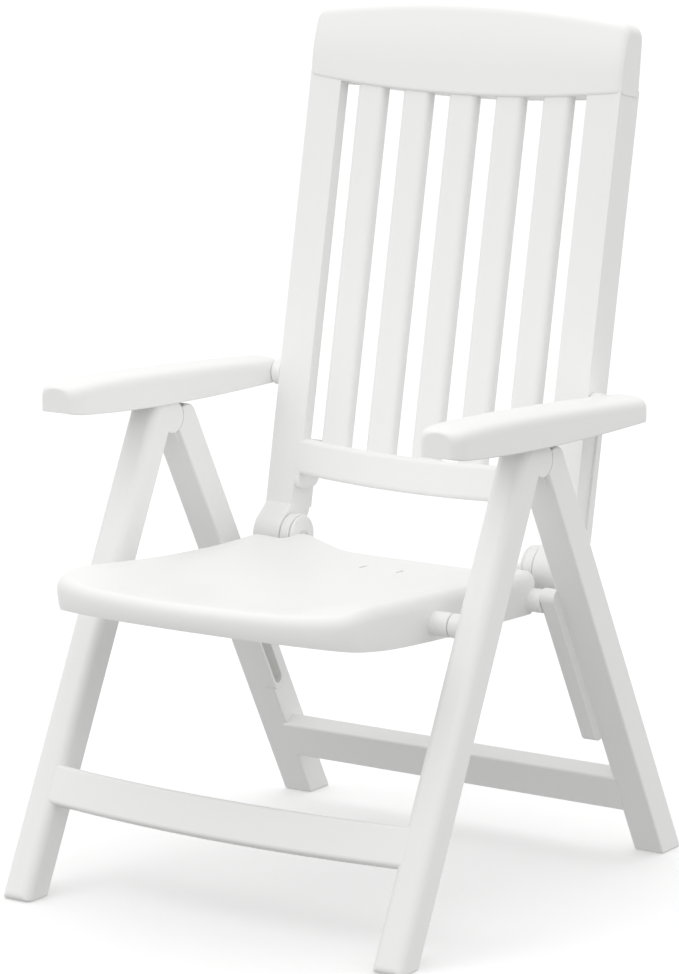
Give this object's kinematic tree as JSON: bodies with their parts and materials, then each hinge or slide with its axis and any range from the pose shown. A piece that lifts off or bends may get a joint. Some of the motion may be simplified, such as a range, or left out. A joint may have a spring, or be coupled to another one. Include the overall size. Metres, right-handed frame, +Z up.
{
  "type": "folding reclining garden armchair",
  "caption": "High-back garden armchair in white moulded resin: slatted back, dished seat and crossed legs; the back reclines with the armrests and the chair folds flat.",
  "frame": {"origin": "centre of the chair's footprint box, on the ground", "axes": "+Z up, -Y towards the chair's front, +X to the right-hand armrest of a person facing the chair"},
  "size_m": [0.62, 0.7306, 1.0889],
  "materials": {
    "white_resin": "satin",
    "pin_resin": "matte"
  },
  "bodies": {
    "front_frame": {"front_leg_left": "white_resin", "front_leg_right": "white_resin", "front_cross_rail": "white_resin", "leg_pivot_pin_left": "pin_resin", "leg_pivot_pin_right": "pin_resin", "lock_pin_left": "pin_resin", "lock_pin_right": "pin_resin", "seat_pivot_boss_left": "white_resin", "seat_pivot_boss_right": "white_resin", "seat_pivot_pin_left": "pin_resin", "seat_pivot_pin_right": "pin_resin"},
    "rear_frame": {"rear_leg_left": "white_resin", "rear_leg_right": "white_resin", "rear_cross_rail": "white_resin", "slide_track_left": "white_resin", "slide_track_right": "white_resin"},
    "seat": {"seat_shell": "white_resin", "slide_pin_left": "pin_resin", "slide_pin_right": "pin_resin"},
    "hinge_pins": {"back_hinge_pin_left": "pin_resin", "back_hinge_pin_right": "pin_resin", "back_hinge_disc_left": "white_resin", "back_hinge_disc_right": "white_resin"},
    "backrest": {"back_stile_left": "white_resin", "back_stile_right": "white_resin", "lower_back_rail": "white_resin", "back_slat_1": "white_resin", "back_slat_2": "white_resin", "back_slat_3": "white_resin", "back_slat_4": "white_resin", "back_slat_5": "white_resin", "head_cap": "white_resin"},
    "arm_pins": {"arm_pivot_pin_left": "pin_resin", "arm_pivot_pin_right": "pin_resin", "arm_spacer_left": "white_resin", "arm_spacer_right": "white_resin"},
    "armrest_left": {"armrest_left": "white_resin"},
    "armrest_right": {"armrest_right": "white_resin"}
  },
  "joints": [
    {"name": "leg_fold", "type": "hinge", "parent": "front_frame", "child": "rear_frame", "pos_m": [0, 0.006, 0.568], "axis": [-1, 0, 0], "range_deg": [0, 50]},
    {"name": "seat_fold", "type": "hinge", "parent": "front_frame", "child": "seat", "pos_m": [0, -0.103, 0.377], "axis": [-1, 0, 0], "range_deg": [0, 100]},
    {"name": "back_fold", "type": "hinge", "parent": "seat", "child": "hinge_pins", "pos_m": [0, 0.181, 0.392], "axis": [-1, 0, 0], "range_deg": [-84, 0]},
    {"name": "recline", "type": "hinge", "parent": "hinge_pins", "child": "backrest", "pos_m": [0, 0.181, 0.392], "axis": [-1, 0, 0], "range_deg": [0, 35]},
    {"name": "arm_fold", "type": "hinge", "parent": "backrest", "child": "arm_pins", "pos_m": [0, 0.232, 0.597], "axis": [-1, 0, 0], "range_deg": [0, 101.5]},
    {"name": "arm_level_left", "type": "hinge", "parent": "arm_pins", "child": "armrest_left", "pos_m": [0, 0.232, 0.597], "axis": [-1, 0, 0], "range_deg": [-24.15, 0]},
    {"name": "arm_level_right", "type": "hinge", "parent": "arm_pins", "child": "armrest_right", "pos_m": [0, 0.232, 0.597], "axis": [-1, 0, 0], "range_deg": [-24.15, 0]}
  ],
  "couplings": [
    {"joint": "seat_fold", "follows": "leg_fold", "ratio": 2},
    {"joint": "back_fold", "follows": "leg_fold", "ratio": -1.68},
    {"joint": "arm_fold", "follows": "leg_fold", "ratio": 2.03},
    {"joint": "arm_level_left", "follows": "recline", "ratio": -0.69},
    {"joint": "arm_level_right", "follows": "recline", "ratio": -0.69}
  ]
}
